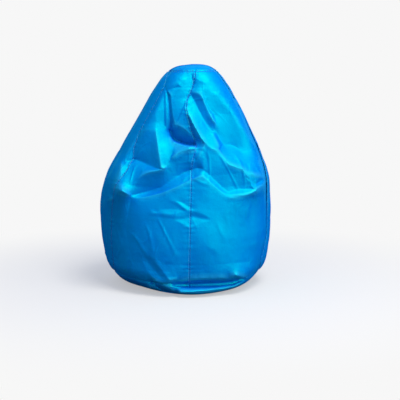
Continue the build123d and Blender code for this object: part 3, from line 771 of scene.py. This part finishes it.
def grid_normals(points):
    """Outward normals of a closed ring of cloth rows."""
    along = np.roll(points, -1, axis=1) - np.roll(points, 1, axis=1)
    normals = np.cross(along, np.gradient(points, axis=0))
    return normals / np.maximum(np.linalg.norm(normals, axis=2, keepdims=True), 1e-9)


def path_lengths(steps):
    """Lengths along a path at its points, from the steps between them."""
    return np.concatenate([[0], np.cumsum(steps)])


def outline_rows():
    """Heights and radii of the cloth rows, evenly spaced up the outline, and their lengths along it."""
    heights, radii = np.array(OUTLINE, float).T
    lengths = path_lengths(np.hypot(np.diff(heights), np.diff(radii)))
    even = np.linspace(0, lengths[-1], int(lengths[-1] / CLOTH_STEP))
    rows_z = smoothed(np.interp(even, lengths, heights), OUTLINE_SMOOTHING)
    rows_r = smoothed(np.interp(even, lengths, radii), OUTLINE_SMOOTHING)
    return rows_z, rows_r, even


def ring(lean, radius, turn, z):
    """Points at turns round the leaning bag, from the front towards +X."""
    return np.stack([lean + radius * np.sin(turn), -radius * np.cos(turn), z], axis=-1)


def seam_turns(rows_z, rows_r, lean):
    """How far round each seam runs at each row, in radians."""
    turns = []
    for i, name in enumerate(SEAM_NAMES):
        turn = np.full(len(rows_z), i * GORE_TURN)
        if name in SEAM_PATHS:
            across, down = in_picture(ring(lean, rows_r - SEAM_DRAW, turn, rows_z))
            path_across, path_down = np.array(SEAM_PATHS[name]).T
            aside = (np.interp(down, path_down, path_across) - across) * PIXEL
            shift = aside / (rows_r * cos(i * GORE_TURN) + 1)
            shift *= smoothstep(0, BASE_SEAM_Z, rows_z) * smoothstep(*SEAM_SHIFT_RADII, rows_r)
            turn += smoothed(np.clip(shift, -SEAM_SHIFT_MOST, SEAM_SHIFT_MOST), SEAM_SMOOTHING)
        turns.append(turn)
    return np.array(turns)


class Cover:
    """The folded cover: rows of points in millimetres, column 0 on the front seam, turning towards +X."""

    def __init__(self):
        self.rows_z, rows_r, self.rows_length = outline_rows()
        self.low = int(np.searchsorted(self.rows_z, BASE_SEAM_Z))
        self.high = int(np.searchsorted(self.rows_z, CAP_SEAM_Z))
        self.lean = at_height(LEAN, self.rows_z)
        seams = seam_turns(self.rows_z, rows_r, self.lean)
        seams = np.concatenate([seams, seams[:1] + 2 * pi])
        gore, column = np.divmod(np.arange(COLUMNS), GORE_COLUMNS)
        share = column / GORE_COLUMNS
        widths = np.diff(seams, axis=0)[gore].T
        turn = seams[gore].T + widths * share
        drawn = np.clip(rows_r / SEAM_DRAW_RADIUS, 0, 1) * smoothstep(0, SEAM_DRAW_HEIGHT, self.rows_z)
        radius = rows_r[:, None] - SEAM_DRAW * drawn[:, None] * np.abs(2 * share - 1) ** SEAM_DRAW_POWER
        signed = np.degrees(np.mod(turn + pi, 2 * pi) - pi)
        low = 1 - smoothstep(0, FOOT_TUCK_HEIGHT, self.rows_z)
        for at, spread, depth in FOOT_TUCKS:
            radius = radius - depth * np.exp(-((signed - at) / spread) ** 2) * low[:, None]
        z = np.broadcast_to(self.rows_z[:, None], turn.shape)
        self.fold(ring(self.lean[:, None], radius, turn, z), turn)
        gore_width = widths * rows_r[:, None]
        self.across = (share - 0.5) * gore_width
        self.seam_distance = np.minimum(share, 1 - share) * gore_width
        self.column_width = gore_width / GORE_COLUMNS
        self.sew()

    def fold(self, points, turn):
        """Pushes the cloth into its folds: along the sight line in front, and straight out behind."""
        normals = grid_normals(points)
        sight = camera_place()[0] - points
        sight /= np.linalg.norm(sight, axis=2, keepdims=True)
        facing = smoothstep(*FACING, (normals * sight).sum(axis=2))
        grounded = smoothstep(0, LUMPS_FULL_Z, points[..., 2])
        front = facing * front_folds(points) * smoothstep(0, FRONT_FULL_Z, points[..., 2])
        behind = back_folds(points, turn) * grounded
        lumps = (lump_height(points) + wrinkle_height(points)) * grounded
        self.points = points + sight * front[..., None] + normals * (behind + lumps)[..., None]
        height = front + behind
        self.crest = np.clip((height - blurred(height, CREST_SPREAD)) / CREST_HEIGHT, -1, 1)

    def sew(self):
        """Draws in the seam lines and puckers the cloth beside them."""
        normals = grid_normals(self.points)
        distance = self.seam_distance
        length = self.rows_length[:, None]
        sewn = smoothstep(BASE_SEAM_Z - SEAM_END_BASE, BASE_SEAM_Z, self.rows_z)[:, None]
        sewn = sewn * (1 - smoothstep(CAP_SEAM_Z, CAP_SEAM_Z + SEAM_END_CAP, self.rows_z))[:, None]
        drift = PUCKER_DRIFT * np.sin(2 * pi * length / PUCKER_DRIFT_LENGTH)
        waves = np.sin(2 * pi * length / PUCKER_PITCH + drift)
        fade = np.sin(2 * pi * length / PUCKER_FADE_LENGTH + PUCKER_FADE_START)
        waves = waves * (1 - PUCKER_FADE + PUCKER_FADE * fade)
        beyond = smoothstep(ALLOWANCE - ALLOWANCE_EDGE, ALLOWANCE + ALLOWANCE_EDGE, distance)
        height = ALLOWANCE_RISE * (1 - beyond)
        height = height - SEAM_NOTCH * np.exp(-(distance / SEAM_NOTCH_WIDTH) ** 2)
        height = (height + PUCKER * waves * np.exp(-distance / PUCKER_REACH)) * sewn
        from_base = length - self.rows_length[self.low]
        from_cap = length - self.rows_length[self.high]
        height = height - BASE_NOTCH * np.exp(-(from_base / BASE_NOTCH_WIDTH) ** 2)
        height = height - CAP_NOTCH * np.exp(-(from_cap / CAP_NOTCH_WIDTH) ** 2)
        self.points = self.points + normals * height[..., None]
        self.normals = grid_normals(self.points)

    def take(self, rows, columns):
        """Points, cloth coordinates and crests of some rows and columns."""
        columns = np.mod(columns, COLUMNS)
        points = self.points[rows][:, columns]
        across = self.across[rows][:, columns]
        up = np.broadcast_to(self.rows_length[rows][:, None], across.shape)
        return points, np.stack([across, up], axis=-1), self.crest[rows][:, columns]

    def beside_seam(self, seam, side):
        """Points and normals along a seam, a stitch inset to one side of it."""
        rows = np.arange(self.low + STITCH_END_ROWS, self.high - STITCH_END_ROWS + 1)
        middle = seam * GORE_COLUMNS
        place = middle + side * STITCH_INSET / self.column_width[rows, (middle + side) % COLUMNS]
        left = np.floor(place).astype(int)
        part = (place - left)[:, None]
        found = []
        for field in (self.points, self.normals):
            found.append(field[rows, left % COLUMNS] * (1 - part) + field[rows, (left + 1) % COLUMNS] * part)
        return found

    def round_cap(self, rows_below):
        """Points and normals round the cap seam, some rows below it."""
        row = self.high - rows_below
        columns = np.arange(COLUMNS + 1) % COLUMNS
        return self.points[row, columns], self.normals[row, columns]


def make_piece(name, points, faces, look, nodes=()):
    """A mesh piece from points in millimetres, with its finish, riding on the cover in place of CAD nodes."""
    mesh = bpy.data.meshes.new(name)
    mesh.from_pydata((np.asarray(points).reshape(-1, 3) * MM).tolist(), [], faces)
    mesh.shade_smooth()
    mesh.materials.append(look)
    piece = bpy.data.objects.new(name, mesh)
    bpy.context.scene.collection.objects.link(piece)
    if nodes:
        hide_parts(*nodes)
    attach(piece, "cover")
    return piece


def grid_faces(rows, columns):
    """Faces between rows and columns of points."""
    index = np.arange(rows * columns).reshape(rows, columns)
    corners = [index[:-1, :-1], index[:-1, 1:], index[1:, 1:], index[1:, :-1]]
    return np.stack(corners, axis=-1).reshape(-1, 4).tolist()


def cloth_piece(name, points, across_up, crest, look, nodes):
    """A panel of cover cloth, with its cloth coordinates in metres and its crests for wear and painted
    highlight.
    """
    piece = make_piece(name, points, grid_faces(*points.shape[:2]), look, nodes=nodes)
    mesh = piece.data
    corner_of = np.empty(len(mesh.loops), int)
    mesh.loops.foreach_get("vertex_index", corner_of)
    layer = mesh.uv_layers.new(name="cloth")
    layer.data.foreach_set("uv", (across_up.reshape(-1, 2)[corner_of] * MM).ravel().astype(np.float32))
    worn = mesh.attributes.new("crest", "FLOAT", "POINT")
    worn.data.foreach_set("value", crest.ravel().astype(np.float32))
    return piece


def half_columns(side, columns):
    """Columns of the front half, side -1, or the back half, side 1: two quarters each, rounded down."""
    quarter = columns // 4
    first = -quarter if side < 0 else quarter
    return np.mod(np.arange(first, first + 2 * quarter + 1), columns)


def floor_half(rim, side, height):
    """Points from the zip slot out to the rim of half a base, at a height worked out from x and y."""
    x = rim[:, 0]
    edge = side * SLOT_HALF * (1 - smoothstep(SLOT_REACH - SLOT_EASE, SLOT_REACH + SLOT_EASE, np.abs(x)))
    share = (np.arange(FLOOR_ROWS) / FLOOR_ROWS)[:, None] ** FLOOR_CROWDING
    y = edge + (rim[:, 1] - edge) * share
    x = np.broadcast_to(x, y.shape)
    return np.stack([x, y, height(x, y)], axis=-1)


def recess_height(x, y):
    """Height of the base above the floor: flat, with the zip recess pushed up into it."""
    along = 1 - smoothstep(RECESS_LENGTH / 2 - RECESS_EASE, RECESS_LENGTH / 2 + RECESS_EASE, np.abs(x))
    across = 1 - smoothstep(RECESS_WIDTH / 2 - RECESS_EASE, RECESS_WIDTH / 2 + RECESS_EASE, np.abs(y))
    return RECESS_DEPTH * along * across


def make_cover(cover, nylon):
    """Gores, cap and both halves of the base."""
    rows = np.arange(cover.low, cover.high + 1)
    for i, name in enumerate(GORE_NAMES):
        columns = np.arange(i * GORE_COLUMNS, (i + 1) * GORE_COLUMNS + 1)
        points, across_up, crest = cover.take(rows, columns)
        across_up[:, -1, 0] = -across_up[:, 0, 0]
        gore = cloth_piece("cover_gore_" + name, points, across_up, crest, nylon, ["gore_" + name])
    points, _, crest = cover.take(np.arange(cover.high, len(cover.rows_z)), np.arange(COLUMNS + 1))
    cap = cloth_piece("cover_top_cap", points, points[..., :2], crest, nylon, ["top_cap"])
    for side, name in ((-1, "front"), (1, "back")):
        points, _, crest = cover.take(np.arange(cover.low + 1), half_columns(side, COLUMNS))
        floor = floor_half(points[0], side, recess_height)
        points = np.concatenate([floor, points])
        crest = np.concatenate([np.zeros(floor.shape[:2]), crest])
        base = cloth_piece("cover_base_" + name, points, points[..., :2], crest, nylon, ["base_" + name])


def make_stitches(name, lines, look, nodes=()):
    """Stitches laid along lines of cloth: short arcs of thread that dive in at both ends."""
    shares, lift, thick = np.array(STITCH_ARC).T
    lift = lift * THREAD
    thick = thick * THREAD / 2
    ring_turn = np.arange(THREAD_SIDES) * 2 * pi / THREAD_SIDES
    points = []
    for path, normals in lines:
        lengths = path_lengths(np.linalg.norm(np.diff(path, axis=0), axis=1))
        starts = np.arange(STITCH_PITCH / 2, lengths[-1] - STITCH_LENGTH, STITCH_PITCH)
        at = starts[:, None] + STITCH_LENGTH * shares
        middle, out = (
            np.stack([np.interp(at, lengths, values) for values in field.T], axis=-1)
            for field in (path, normals))
        beside = np.cross(out, np.gradient(middle, axis=1))
        beside /= np.linalg.norm(beside, axis=2, keepdims=True)
        middle = middle + out * lift[:, None]
        spoke = beside[:, :, None] * np.cos(ring_turn)[:, None] + out[:, :, None] * np.sin(ring_turn)[:, None]
        points.append((middle[:, :, None] + spoke * thick[:, None, None]).reshape(-1, 3))
    points = np.concatenate(points)
    rings = len(shares)
    faces = []
    for first in range(0, len(points), rings * THREAD_SIDES):
        last = first + (rings - 1) * THREAD_SIDES
        for low in range(first, last, THREAD_SIDES):
            for s in range(THREAD_SIDES):
                turn = (s + 1) % THREAD_SIDES
                faces.append((low + s, low + turn, low + THREAD_SIDES + turn, low + THREAD_SIDES + s))
        faces.append(tuple(range(first + THREAD_SIDES - 1, first - 1, -1)))
        faces.append(tuple(range(last, last + THREAD_SIDES)))
    return make_piece(name, points, faces, look, nodes=nodes)


def inner_radii(cover, clear):
    """Radii of coarse rows and columns that stay clear inside the folded cover all round."""
    flat = cover.points[..., :2].copy()
    flat[..., 0] -= cover.lean[:, None]
    radius = np.linalg.norm(flat, axis=2)
    for _ in range(INNER_REACH):
        radius = np.minimum(radius, np.minimum(np.roll(radius, 1, axis=1), np.roll(radius, -1, axis=1)))
        edged = np.pad(radius, ((1, 1), (0, 0)), mode="edge")
        radius = np.minimum(radius, np.minimum(edged[:-2], edged[2:]))
    rows = np.arange(0, len(cover.rows_z), INNER_ROW_STEP)
    columns = np.arange(0, COLUMNS, INNER_COLUMN_STEP)
    radius = np.maximum(radius[rows][:, columns] - clear, 0)
    turn = np.broadcast_to(columns * 2 * pi / COLUMNS, radius.shape)
    return radius, turn, cover.lean[rows], cover.rows_z[rows]


def make_liner(cover, look):
    """Front and back of the liner, each with its side of the zip slot."""
    radius, turn, lean, z = inner_radii(cover, LINER_CLEAR)
    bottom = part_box("liner_zip_tape_front")[0].z / MM - LINER_UNDER_TAPE
    z = bottom + z * (LINER_TOP - bottom) / z[-1]
    points = ring(lean[:, None], radius, turn, np.broadcast_to(z[:, None], radius.shape))
    # Its columns don't divide by four, so the halves leave a slit of two columns down the left side
    for side, name in ((-1, "front"), (1, "back")):
        half = points[:, half_columns(side, radius.shape[1])]
        floor = floor_half(half[0], side, lambda x, y: np.full(x.shape, bottom))
        half = np.concatenate([floor, half])
        faces = grid_faces(*half.shape[:2])
        piece = make_piece("liner_half_" + name, half, faces, look, nodes=["liner_" + name])


def make_filling(cover, look):
    """Heap of beads inside the liner: a closed, slightly lumpy mass with a domed top."""
    radius, turn, lean, z = inner_radii(cover, LINER_CLEAR + FILL_CLEAR)
    level = FILL_BOTTOM + z * (FILL_TOP - FILL_BOTTOM) / z[-1]
    inside = np.array([np.interp(level, z, column) for column in radius.T]).T
    share = (level - FILL_BOTTOM) / (FILL_TOP - FILL_BOTTOM)
    inside *= np.sqrt(1 - share ** FILL_DOME)[:, None]
    leaning = np.interp(level, z, lean)
    side = ring(leaning[:, None], inside, turn, np.broadcast_to(level[:, None], inside.shape))
    shrink = np.linspace(0, 1, FILL_FLOOR_RINGS)[:, None, None]
    centre = side[0].mean(axis=0)
    floor = centre + (side[0] - centre) * shrink[:-1]
    points = np.concatenate([floor, side])
    points += grid_normals(points) * (lump_height(points * FILL_LUMP_CROWDING) * FILL_LUMP)[..., None]
    points[..., 2] = np.maximum(points[..., 2], FILL_BOTTOM)
    points = np.concatenate([points, points[:, :1]], axis=1)
    piece = make_piece("bead_heap", points, grid_faces(*points.shape[:2]), look, nodes=["bead_fill"])


def make_coil(node, look):
    """Filament wound in loops along one side of a zip, in the room its CAD bar takes."""
    low, high = (np.array(corner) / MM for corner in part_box(node))
    count = int((high[0] - low[0] - 2 * COIL_FILAMENT) / COIL_PITCH)
    wound = np.linspace(0, 2 * pi * count, count * COIL_POINTS)
    middle = (low + high) / 2
    reach = (high - low) / 2 - COIL_FILAMENT
    path = middle + reach * np.stack([wound / (pi * count) - 1, np.cos(wound), np.sin(wound)], axis=-1)
    along = np.gradient(path, axis=0)
    along /= np.linalg.norm(along, axis=1, keepdims=True)
    spoke = np.cross(along, (1.0, 0.0, 0.0))
    spoke /= np.linalg.norm(spoke, axis=1, keepdims=True)
    other = np.cross(along, spoke)
    turns = (np.arange(COIL_SIDES) * 2 * pi / COIL_SIDES)[:, None]
    rings = path[:, None] + COIL_FILAMENT * (spoke[:, None] * np.cos(turns) + other[:, None] * np.sin(turns))
    rings = np.concatenate([rings, rings[:, :1]], axis=1)
    make_piece("wound_" + node, rings, grid_faces(*rings.shape[:2]), look, nodes=[node])


def add_node(tree, kind, inputs=None, **settings):
    """Adds a shader node with its settings, and sets or links its inputs: a node gives its first output."""
    made = tree.nodes.new("ShaderNode" + kind)
    for name, value in settings.items():
        setattr(made, name, value)
    for socket, value in (inputs or {}).items():
        if isinstance(value, bpy.types.Node):
            value = value.outputs[0]
        if isinstance(value, bpy.types.NodeSocket):
            tree.links.new(value, made.inputs[socket])
        else:
            made.inputs[socket].default_value = value
    return made


def new_look(name, slot=None):
    """An empty material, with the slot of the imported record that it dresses."""
    made = bpy.data.materials.new(name)
    if slot:
        made["slot"] = slot
    made.use_nodes = True
    made.node_tree.nodes.clear()
    return made, made.node_tree


def weave_height(tree, cloth, pitch):
    """Height of a plain weave at cloth coordinates, its threads a pitch in millimetres apart."""
    ways = add_node(tree, "SeparateXYZ", {0: cloth})
    threads = []
    for way in ("X", "Y"):
        scaled = add_node(tree, "Math", {0: ways.outputs[way], 1: pi / (pitch * MM)}, operation="MULTIPLY")
        threads.append(add_node(tree, "Math", {0: scaled}, operation="SINE"))
    return add_node(tree, "Math", dict(enumerate(threads)), operation="MULTIPLY")


def coated_nylon():
    """Plain-woven nylon with a polyurethane coat: deep azure in shade, with a broad cyan gloss on its folds.

    The gloss takes its tint from the dye below, so it is drawn as a tinted metallic layer over the cloth.
    """
    made, tree = new_look("coated_nylon_weave", "coated_nylon")
    place = add_node(tree, "TexCoord")
    bag = place.outputs["Object"]
    weave = weave_height(tree, place.outputs["UV"], WEAVE_PITCH)
    crinkle = add_node(tree, "TexNoise", {
        "Vector": bag, "Scale": 1 / (CRINKLE_SIZE * MM), "Detail": 3.0, "Roughness": 0.55})
    creased = add_node(tree, "TexNoise", {
        "Vector": bag, "Scale": 1 / (CREASE_SIZE * MM), "Detail": 2.0, "Roughness": 0.5},
        noise_type="RIDGED_MULTIFRACTAL", normalize=True)
    dye = add_node(tree, "TexNoise", {"Vector": bag, "Scale": 1 / (DYE_PATCH * MM), "Detail": 2.0})
    stretch = add_node(tree, "Mapping", {
        "Vector": place.outputs["UV"], "Scale": (1 / (STREAK_WIDTH * MM), 1 / (STREAK_LENGTH * MM), 1.0)})
    yarn = add_node(tree, "TexNoise", {"Vector": stretch, "Scale": 1.0, "Detail": 1.0})
    streak = add_node(tree, "MapRange", {
        "Value": yarn, "From Min": 0.35, "From Max": 0.65, "To Min": 0.0, "To Max": 0.22})
    # Painted highlight and rubbed wear: the crests of the folds turn a lighter azure
    crest = add_node(tree, "Attribute", attribute_name="crest")
    wear_and_highlight = add_node(tree, "MapRange", {
        "Value": crest.outputs["Fac"], "From Min": 0.2, "From Max": 1.0, "To Min": 0.0, "To Max": 0.35})
    colour = srgb(BODY_DARK)
    for share, tint in ((dye, BODY_LIGHT), (streak, BODY_STREAK), (wear_and_highlight, BODY_RUBBED_HIGHLIGHT)):
        mixed = add_node(tree, "Mix", {0: share, COLOUR_A: colour, COLOUR_B: srgb(tint)}, data_type="RGBA")
        colour = mixed.outputs[MIXED]
    rough = add_node(tree, "MapRange", {
        "Value": crinkle, "From Min": 0.3, "From Max": 0.7, "To Min": 0.56, "To Max": 0.66})
    bump = add_node(tree, "Bump", {"Height": weave, "Strength": 0.35, "Distance": 0.12 * MM})
    for height, strength, depth in ((creased, 0.6, 3.0), (crinkle, 0.7, 2.5)):
        bump = add_node(tree, "Bump", {
            "Height": height, "Strength": strength, "Distance": depth * MM, "Normal": bump})
    body = add_node(tree, "BsdfPrincipled", {
        "Base Color": colour,
        "Roughness": 0.6,
        "Specular IOR Level": 0.0,
        "Normal": bump,
    })
    shine = add_node(tree, "BsdfPrincipled", {
        "Base Color": srgb(SHINE),
        "Metallic": 1.0,
        "Roughness": rough,
        "Specular Tint": srgb(SHINE_EDGE),
        "Normal": bump,
    })
    shader = add_node(tree, "MixShader", {0: SHINE_SHARE, 1: body, 2: shine})
    add_node(tree, "OutputMaterial", {"Surface": shader})
    return made


def finish_surface(tree, height, strength, depth, sockets):
    """Ends a material: a relief of some depth in millimetres, and the shader's own sockets."""
    bump = add_node(tree, "Bump", {"Height": height, "Strength": strength, "Distance": depth * MM})
    shader = add_node(tree, "BsdfPrincipled", {**sockets, "Normal": bump})
    add_node(tree, "OutputMaterial", {"Surface": shader})


def woven(slot, dark, light, pitch, rough, depth):
    """Plain-woven yarn: two shades of one dye, raised where threads cross over."""
    made, tree = new_look("woven_" + slot, slot)
    place = add_node(tree, "TexCoord")
    weave = weave_height(tree, place.outputs["Object"], pitch)
    fuzz = add_node(tree, "TexNoise", {
        "Vector": place.outputs["Object"], "Scale": 1 / (4 * pitch * MM), "Detail": 4.0, "Roughness": 0.65})
    shade = add_node(tree, "Math", {0: weave, 1: 0.3, 2: fuzz}, operation="MULTIPLY_ADD")
    dyed = add_node(tree, "Mix", {0: shade, COLOUR_A: srgb(dark), COLOUR_B: srgb(light)}, data_type="RGBA")
    finish_surface(tree, shade, 0.6, depth, {
        "Base Color": dyed.outputs[MIXED],
        "Roughness": rough,
        "IOR": 1.5,
        "Sheen Weight": 0.25,
        "Sheen Roughness": 0.4,
    })
    return made


def stitching_thread():
    """Twisted polyester thread in azure: a dull sheen, banded by its plies."""
    made, tree = new_look("twisted_polyester_thread", "thread")
    place = add_node(tree, "TexCoord")
    ply = add_node(tree, "TexWave", {
        "Vector": place.outputs["Object"], "Scale": WAVE_BANDS / (PLY_PITCH * MM),
        "Distortion": 1.5, "Detail": 1.0}, bands_direction="DIAGONAL").outputs["Fac"]
    dyed = add_node(tree, "Mix", {
        0: ply, COLOUR_A: srgb("#0A60B4"), COLOUR_B: srgb("#148CD8")}, data_type="RGBA")
    finish_surface(tree, ply, 0.5, 0.15, {
        "Base Color": dyed.outputs[MIXED],
        "Roughness": 0.5,
        "IOR": 1.55,
        "Sheen Weight": 0.2,
    })
    return made


def filament(slot, dark, light):
    """Drawn nylon monofilament: smooth and waxy, a shade lighter where it was set to shape."""
    made, tree = new_look("nylon_filament_" + slot, slot)
    place = add_node(tree, "TexCoord")
    drawn = add_node(tree, "TexNoise", {
        "Vector": place.outputs["Object"], "Scale": 1 / (DRAWN_MARK * MM), "Detail": 2.0})
    tint = add_node(tree, "Mix", {0: drawn, COLOUR_A: srgb(dark), COLOUR_B: srgb(light)}, data_type="RGBA")
    rough = add_node(tree, "MapRange", {"Value": drawn, "To Min": 0.28, "To Max": 0.44})
    finish_surface(tree, drawn, 0.2, 0.05, {
        "Base Color": tint.outputs[MIXED],
        "Roughness": rough,
        "IOR": 1.53,
    })
    return made


def enamelled_zinc():
    """Die-cast zinc under navy enamel: a hard gloss with orange peel, rubbed to grey metal in flecks."""
    made, tree = new_look("enamelled_zinc", "zip_metal")
    place = add_node(tree, "TexCoord")
    peel = add_node(tree, "TexNoise", {
        "Vector": place.outputs["Object"], "Scale": 1 / (PEEL_SIZE * MM), "Detail": 2.0})
    fleck = add_node(tree, "TexNoise", {
        "Vector": place.outputs["Object"], "Scale": 1 / (FLECK_SIZE * MM), "Detail": 5.0, "Roughness": 0.7})
    bare = add_node(tree, "MapRange", {"Value": fleck, "From Min": 0.64, "From Max": 0.68})
    tint = add_node(tree, "Mix", {
        0: bare, COLOUR_A: srgb("#1A2440"), COLOUR_B: srgb("#8C9098")}, data_type="RGBA")
    rough = add_node(tree, "MapRange", {"Value": fleck, "To Min": 0.22, "To Max": 0.42})
    finish_surface(tree, peel, 0.25, 0.06, {
        "Base Color": tint.outputs[MIXED],
        "Metallic": bare,
        "Roughness": rough,
        "Coat Weight": 0.4,
        "Coat Roughness": 0.15,
    })
    return made


def polystyrene_beads():
    """Loose expanded polystyrene beads: matt white, each bead a round bump, with painted shade in the gaps
    between them.
    """
    made, tree = new_look("polystyrene_beads", "beads")
    place = add_node(tree, "TexCoord")
    bead = add_node(tree, "TexVoronoi", {"Vector": place.outputs["Object"], "Scale": 1 / (BEAD_SIZE * MM)})
    # Painted shade: the white turns greyer towards the gaps between beads
    shade = add_node(tree, "Mix", {
        0: bead, COLOUR_A: srgb("#F6F6F4"), COLOUR_B: srgb("#C4C4C0")}, data_type="RGBA")
    round_top = add_node(tree, "Math", {0: 1.0, 1: bead}, operation="SUBTRACT")
    finish_surface(tree, round_top, 0.9, BEAD_SIZE / 2, {
        "Base Color": shade.outputs[MIXED],
        "Roughness": 0.7,
        "IOR": 1.3,
    })
    return made


def finish_node(name, look):
    """Gives a carried-over CAD piece its finish."""
    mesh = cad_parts[name].data
    mesh.materials.clear()
    mesh.materials.append(look)


def dress_zips():
    """Finishes of the zip pieces, with the coils wound from filament."""
    metal = enamelled_zinc()
    looks = {
        "zip_": (
            woven("zip_tape", "#101C34", "#20304E", TAPE_PITCH, 0.75, TAPE_RELIEF),
            filament("zip_coil", "#121C30", "#1E2C48")),
        "liner_zip_": (
            woven("liner_tape", "#D6D4CE", "#EFEEEA", TAPE_PITCH, 0.75, TAPE_RELIEF),
            filament("liner_coil", "#DAD8D2", "#F0EFEA")),
    }
    for prefix, (tape, coil) in looks.items():
        for side in ("front", "back"):
            finish_node(prefix + "tape_" + side, tape)
            make_coil(prefix + "coil_" + side, coil)
        for part in ("top_stops", "bottom_stop", "slider"):
            finish_node(prefix + part, metal)
    finish_node("zip_pull", metal)


def background_share(tree, glossy_share):
    """How much of the background a ray sees: all of it from the camera and through glass, less in a gloss."""
    path = add_node(tree, "LightPath")
    gloss = add_node(tree, "Math", {0: path.outputs["Is Glossy Ray"], 1: glossy_share}, operation="MULTIPLY")
    shown = add_node(tree, "Math", {0: path.outputs["Is Camera Ray"], 1: gloss}, operation="MAXIMUM")
    return add_node(tree, "Math", {0: shown, 1: path.outputs["Is Transmission Ray"]}, operation="MAXIMUM")


def make_floor():
    """Pale floor: it takes the bag's shadow close by and passes into the background further out."""
    ways = [(-1, -1), (1, -1), (1, 1), (-1, 1)]
    corners = [(x * FLOOR_REACH, y * FLOOR_REACH, -FLOOR_DROP) for x, y in ways]
    mesh = bpy.data.meshes.new("floor")
    mesh.from_pydata(corners, [], [(0, 1, 2, 3)])
    floor = bpy.data.objects.new("floor", mesh)
    bpy.context.scene.collection.objects.link(floor)
    made, tree = new_look("pale_floor")
    place = add_node(tree, "NewGeometry")
    away = add_node(tree, "VectorMath", {0: place.outputs["Position"]}, operation="LENGTH")
    far = add_node(tree, "MapRange", {
        "Value": away.outputs["Value"], "From Min": FLOOR_NEAR, "From Max": FLOOR_FAR,
        "To Min": FLOOR_GLOW, "To Max": 1.0}, interpolation_type="SMOOTHSTEP")
    paint = add_node(tree, "BsdfDiffuse", {"Color": srgb(FLOOR_PAINT)})
    glow = add_node(tree, "Emission", {"Color": srgb(BACKGROUND), "Strength": 1.0})
    pale = add_node(tree, "MixShader", {0: far, 1: paint, 2: glow})
    bounce = add_node(tree, "BsdfDiffuse", {"Color": srgb(FLOOR_BOUNCE)})
    mix = add_node(tree, "MixShader", {0: background_share(tree, FLOOR_IN_GLOSS), 1: bounce, 2: pale})
    add_node(tree, "OutputMaterial", {"Surface": mix})
    mesh.materials.append(made)


def make_room():
    """Soft light of the room all round, and the plain background that the camera sees."""
    world = bpy.data.worlds.new("studio")
    bpy.context.scene.world = world
    world.use_nodes = True
    tree = world.node_tree
    tree.nodes.clear()
    way = add_node(tree, "TexCoord")
    sides = add_node(tree, "SeparateXYZ", {0: way.outputs["Generated"]})
    level = add_node(tree, "MapRange", {
        "Value": sides.outputs["X"], "From Min": -ROOM_TURN, "From Max": ROOM_TURN,
        "To Min": ROOM_LEFT, "To Max": ROOM_RIGHT})
    room = add_node(tree, "Background", {"Color": srgb(ROOM_LIGHT), "Strength": level})
    seen = add_node(tree, "Background", {"Color": srgb(BACKGROUND), "Strength": 1.0})
    mix = add_node(tree, "MixShader", {0: background_share(tree, ROOM_IN_GLOSS), 1: room, 2: seen})
    add_node(tree, "OutputWorld", {"Surface": mix})


def make_soft_boxes():
    """Two large square lamps, turned to the middle of the bag."""
    for name, place, side, power in SOFT_BOXES:
        lamp = bpy.data.lights.new(name, "AREA")
        lamp.shape = "SQUARE"
        lamp.size = side
        lamp.energy = power
        lamp.color = srgb(BOX_LIGHT)[:3]
        light = bpy.data.objects.new(name, lamp)
        bpy.context.scene.collection.objects.link(light)
        light.location = place
        light.rotation_euler = (Vector(BOX_AIM) - Vector(place)).to_track_quat("-Z", "Y").to_euler()


def make_camera():
    """Camera at the photograph's viewing angle."""
    lens = bpy.data.cameras.new("camera")
    lens.sensor_width = CAMERA_SENSOR
    lens.lens = CAMERA_FOCAL / PICTURE_SIDE * CAMERA_SENSOR
    camera = bpy.data.objects.new("camera", lens)
    bpy.context.scene.collection.objects.link(camera)
    camera.location = Vector(camera_place()[0]) * MM
    camera.rotation_euler = (pi / 2 - radians(CAMERA_ELEVATION), 0, 0)
    bpy.context.scene.camera = camera
    bpy.context.scene.view_settings.view_transform = "Standard"


cover = Cover()
make_cover(cover, coated_nylon())
thread = stitching_thread()
for seam, name in enumerate(SEAM_NAMES):
    rows = [cover.beside_seam(seam, side) for side in (-1, 1)]
    make_stitches("stitches_" + name, rows, thread, ["topstitch_" + name])
make_stitches("stitches_cap", [cover.round_cap(CAP_STITCH_ROWS), cover.round_cap(-CAP_STITCH_ROWS)], thread)
make_liner(cover, woven("liner_cloth", "#D8D6D0", "#F0EFEB", LINER_PITCH, 0.8, LINER_RELIEF))
make_filling(cover, polystyrene_beads())
dress_zips()
make_floor()
make_room()
make_soft_boxes()
make_camera()
